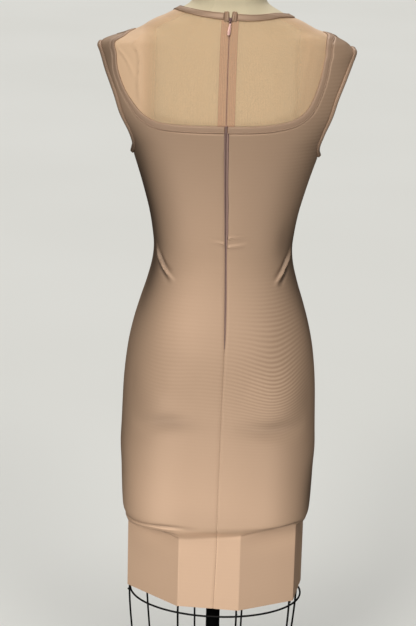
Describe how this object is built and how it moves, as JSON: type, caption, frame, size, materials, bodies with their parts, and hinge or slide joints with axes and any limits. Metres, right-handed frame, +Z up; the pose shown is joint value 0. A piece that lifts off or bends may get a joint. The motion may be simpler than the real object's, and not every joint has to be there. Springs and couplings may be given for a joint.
{
  "type": "bodycon dress on a limbless dress form with a stand",
  "caption": "Sleeveless knee-length bodycon dress of bandage knit with a sheer yoke and a back zip, on a limbless dress form with a wire cage, pole and round foot.",
  "frame": {"origin": "centre of the stand's foot, on the floor, on the pole's axis", "axes": "+Z up along the pole, -Y the dress's front, +Y its back with the zip, +X the wearer's left"},
  "size_m": [0.43, 0.43, 1.488],
  "materials": {
    "bandage_knit": "matt, fine crosswise ribs",
    "bandage_strip": "matt, two layers, topstitched",
    "sheer_mesh": "sheer, matt",
    "zip_tape": "matt, fine twill",
    "zip_slider": "satin lacquer",
    "rose_metal": "polished, rose plated",
    "linen_cover": "matt linen",
    "black_wire": "satin",
    "black_tube": "satin",
    "cast_iron": "painted, satin"
  },
  "bodies": {
    "root": {"back_left": "bandage_knit", "back_right": "bandage_knit", "front": "bandage_knit", "yoke_back_left": "sheer_mesh", "yoke_back_right": "sheer_mesh", "yoke_front": "sheer_mesh", "yoke_band_back_left": "bandage_strip", "yoke_band_back_right": "bandage_strip", "yoke_band_front": "bandage_strip", "neckband": "bandage_strip", "armhole_binding_left": "bandage_strip", "armhole_binding_right": "bandage_strip", "zip_tape_left": "zip_tape", "zip_tape_right": "zip_tape", "zip_slider": "zip_slider", "form_torso": "linen_cover", "cage_wire_0": "black_wire", "cage_wire_1": "black_wire", "cage_wire_2": "black_wire", "cage_wire_3": "black_wire", "cage_wire_4": "black_wire", "cage_wire_5": "black_wire", "cage_wire_6": "black_wire", "cage_wire_7": "black_wire", "cage_hoop_upper": "black_wire", "cage_hoop_lower": "black_wire", "pole_flange": "cast_iron", "stand_pole": "black_tube", "stand_base": "cast_iron"},
    "pull": {"zip_pull": "rose_metal"}
  },
  "joints": [
    {"name": "pull_hinge", "type": "hinge", "parent": "root", "child": "pull", "pos_m": [-0.00084, 0.07704, 1.41643], "axis": [1, 0, 0], "range_deg": [0, 140]}
  ]
}
